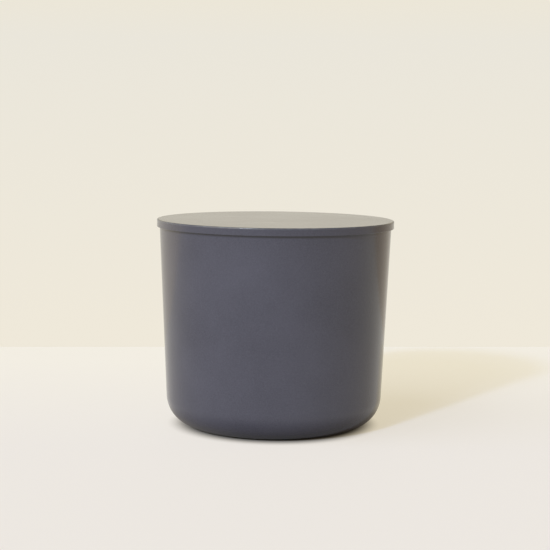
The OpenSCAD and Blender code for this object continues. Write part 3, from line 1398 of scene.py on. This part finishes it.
@dataclass
class Studio:
    """A pale table that ends at a pale wall, soft light from the front left, and the camera.

    The wall and the room are the world's colours. The table glows, painted light that lifts its shade,
    and the glow runs from near to far over glow_span along Y. Close to the object the glow gives way to
    the darker contact colour, a painted contact shadow: it sets in between glow_from and glow_seen out
    from the axis, or glow_mirrored in a reflection, so that the tin's lower corner mirrors a wider
    painted shadow. Inside opening_r the table is open, so that the base gets light.
    """

    left_color: Color = (1.20, 1.06, 0.85)
    wall_color: Color = (0.855, 0.80, 0.70)
    right_color: Color = (0.72, 0.57, 0.40)
    wall_stops: Span = (0.3, 0.62)
    foot_tint: Color = (1.01, 1.015, 1.0)
    head_tint: Color = (0.965, 0.99, 1.01)
    haze: Color = (1.10, 1.02, 0.78)
    tint_span: Span = (-0.15, 0.25)
    overhead: float = 0.25
    overhead_span: Span = (0.1, 0.6)
    table_color: Color = (0.20, 0.23, 0.345)
    # painted contact shadow: the table's colour close round the object's base
    contact_shadow_color: Color = (0.26, 0.23, 0.21)
    # painted light: the table's glow, which lifts its shade
    glow_near: Color = (0.622, 0.553, 0.42)
    glow_far: Color = (0.667, 0.599, 0.432)
    glow_span: Span = (-0.05, 0.15)
    opening_r: float = 0.0315
    glow_from: float = 0.036
    glow_seen: float = 0.047
    glow_mirrored: float = 0.066
    table_half: float = 1.6
    table_roughness: float = 0.8
    table_gloss: float = 0.2
    wall_y: float = 0.2077
    wall_slope: float = 0.0718
    key: Lamp = Lamp("key", (0.60, 0.79, 0.98), 2.2, -32.0, 26.0, 4.0, glints=False)
    flare: Lamp = Lamp("flare", (0.80, 0.88, 1.0), 1.15, -31.0, 27.0, 13.0)
    softbox: Lamp = Lamp("softbox", (1.0, 0.95, 0.77), 2.0, -55.0, 40.0, 60.0)
    eye: Triple = (0.0, -0.6305, 0.1342)
    pitch: float = 6.285
    roll: float = 0.653
    lens: float = 95.85
    sensor: float = 36.0
    clip: Span = (0.01, 20.0)

    def table_paint(self) -> bpy.types.Material:
        """Make the table's material, see-through from below and in its opening.

        Returns:
            The new material.
        """
        material = bpy.data.materials.new("pale_table")
        material.use_nodes = True
        graph = Graph(material.node_tree)
        shader = graph.tree.nodes["Principled BSDF"]
        place = graph.node("SeparateXYZ", {0: graph.node("TexCoord").outputs["Object"]}).outputs
        out = graph.length(place["X"], place["Y"])
        seen = graph.node("LightPath").outputs["Is Camera Ray"]
        # painted contact shadow: the glow fades out near the object, further out in reflections
        lit = graph.mapped(out, self.glow_from, graph.between(seen, self.glow_mirrored, self.glow_seen),
                           smooth=True)
        # painted light: the glow's colour from near to far
        full = graph.blend(graph.mapped(place["Y"], *self.glow_span), self.glow_near, self.glow_far)
        graph.feed(shader, {
            "Base Color": graph.blend(lit, self.contact_shadow_color, self.table_color),
            "Emission Color": graph.blend(lit, (0.0, 0.0, 0.0), full),
            "Emission Strength": 1.0,
            "Roughness": self.table_roughness,
            "Specular IOR Level": self.table_gloss,
        })
        from_below = graph.node("NewGeometry").outputs["Backfacing"]
        clear = graph.math("MAXIMUM", from_below, graph.math("LESS_THAN", out, self.opening_r))
        through = graph.node("BsdfTransparent").outputs[0]
        whole = graph.node("MixShader", {0: clear, 1: shader.outputs[0], 2: through}).outputs[0]
        graph.feed(graph.tree.nodes["Material Output"], {"Surface": whole})
        return material

    def table(self) -> bpy.types.Object:
        """Lay the table top, up to the slanted line where the wall begins.

        Returns:
            The table top.
        """
        half = self.table_half
        far = [self.wall_y - half * self.wall_slope, self.wall_y + half * self.wall_slope]
        corners = [[-half, -half, 0], [half, -half, 0], [half, far[1], 0], [-half, far[0], 0]]
        mesh = bpy.data.meshes.new("table_top")
        mesh.from_pydata(corners, [], [[0, 1, 2, 3]])
        mesh.materials.append(self.table_paint())
        table = bpy.data.objects.new("table_top", mesh)
        bpy.context.scene.collection.objects.link(table)
        return table

    def surroundings(self) -> None:
        """Fill the world with the pale room: brighter to the left, warmer to the right, dim overhead."""
        world = bpy.data.worlds.new("pale_room")
        world.use_nodes = True
        graph = Graph(world.node_tree)
        way = graph.node("SeparateXYZ", {0: graph.node("TexCoord").outputs["Generated"]}).outputs
        ramp = graph.node("ValToRGB", {0: graph.mapped(way["X"], -1.0, 1.0)})
        stops = ramp.color_ramp.elements
        stops[0].color, stops[1].color = (*self.left_color, 1), (*self.right_color, 1)
        for stop in self.wall_stops:
            stops.new(stop).color = (*self.wall_color, 1)
        tint = graph.node("ValToRGB", {0: graph.mapped(way["Z"], *self.tint_span)})
        tints = tint.color_ramp.elements
        tints[0].color, tints[1].color = (*self.foot_tint, 1), (*self.haze, 1)
        tints.new(0.5).color = (*self.head_tint, 1)
        color = graph.node("Mix", {0: 1.0, 6: ramp.outputs[0], 7: tint.outputs[0]},
                           data_type="RGBA", blend_type="MULTIPLY").outputs[2]
        strength = graph.mapped(way["Z"], *self.overhead_span, 1.0, self.overhead, smooth=True)
        graph.feed(graph.tree.nodes["Background"], {"Color": color, "Strength": strength})
        bpy.context.scene.world = world

    def camera(self) -> bpy.types.Object:
        """Set up the camera: it looks along +Y, pitched down and rolled a little.

        Returns:
            The camera.
        """
        data = bpy.data.cameras.new("camera")
        data.lens, data.sensor_width = self.lens, self.sensor
        data.clip_start, data.clip_end = self.clip
        camera = bpy.data.objects.new("camera", data)
        aim = Matrix.Rotation(math.radians(90 - self.pitch), 4, "X")
        twist = Matrix.Rotation(math.radians(self.roll), 4, "Z")
        camera.matrix_world = Matrix.Translation(self.eye) @ aim @ twist
        bpy.context.scene.collection.objects.link(camera)
        bpy.context.scene.camera = camera
        return camera

    def build(self) -> None:
        """Build the whole studio."""
        self.table()
        self.surroundings()
        for lamp in (self.key, self.flare, self.softbox):
            lamp.hang()
        self.camera()
        bpy.context.scene.view_settings.view_transform = "Standard"


def main() -> None:
    """Build the studio and every sub-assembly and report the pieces."""
    logging.basicConfig(level=logging.INFO, format="%(name)s %(message)s")
    Studio().build()
    palette = Palette()
    shell = TinShell()
    pieces = shell.build(palette)
    wicks = [Wick(number) for number in (1, 2, 3)]
    pieces += [piece for wick in wicks for piece in wick.build(palette)]
    pieces.append(Wax(shell, wicks).build(palette))
    pieces.append(Seal().build(palette))
    pieces += Lid().build(palette)
    LOG.info("%d pieces", len(pieces))


if __name__ == "__main__":
    main()
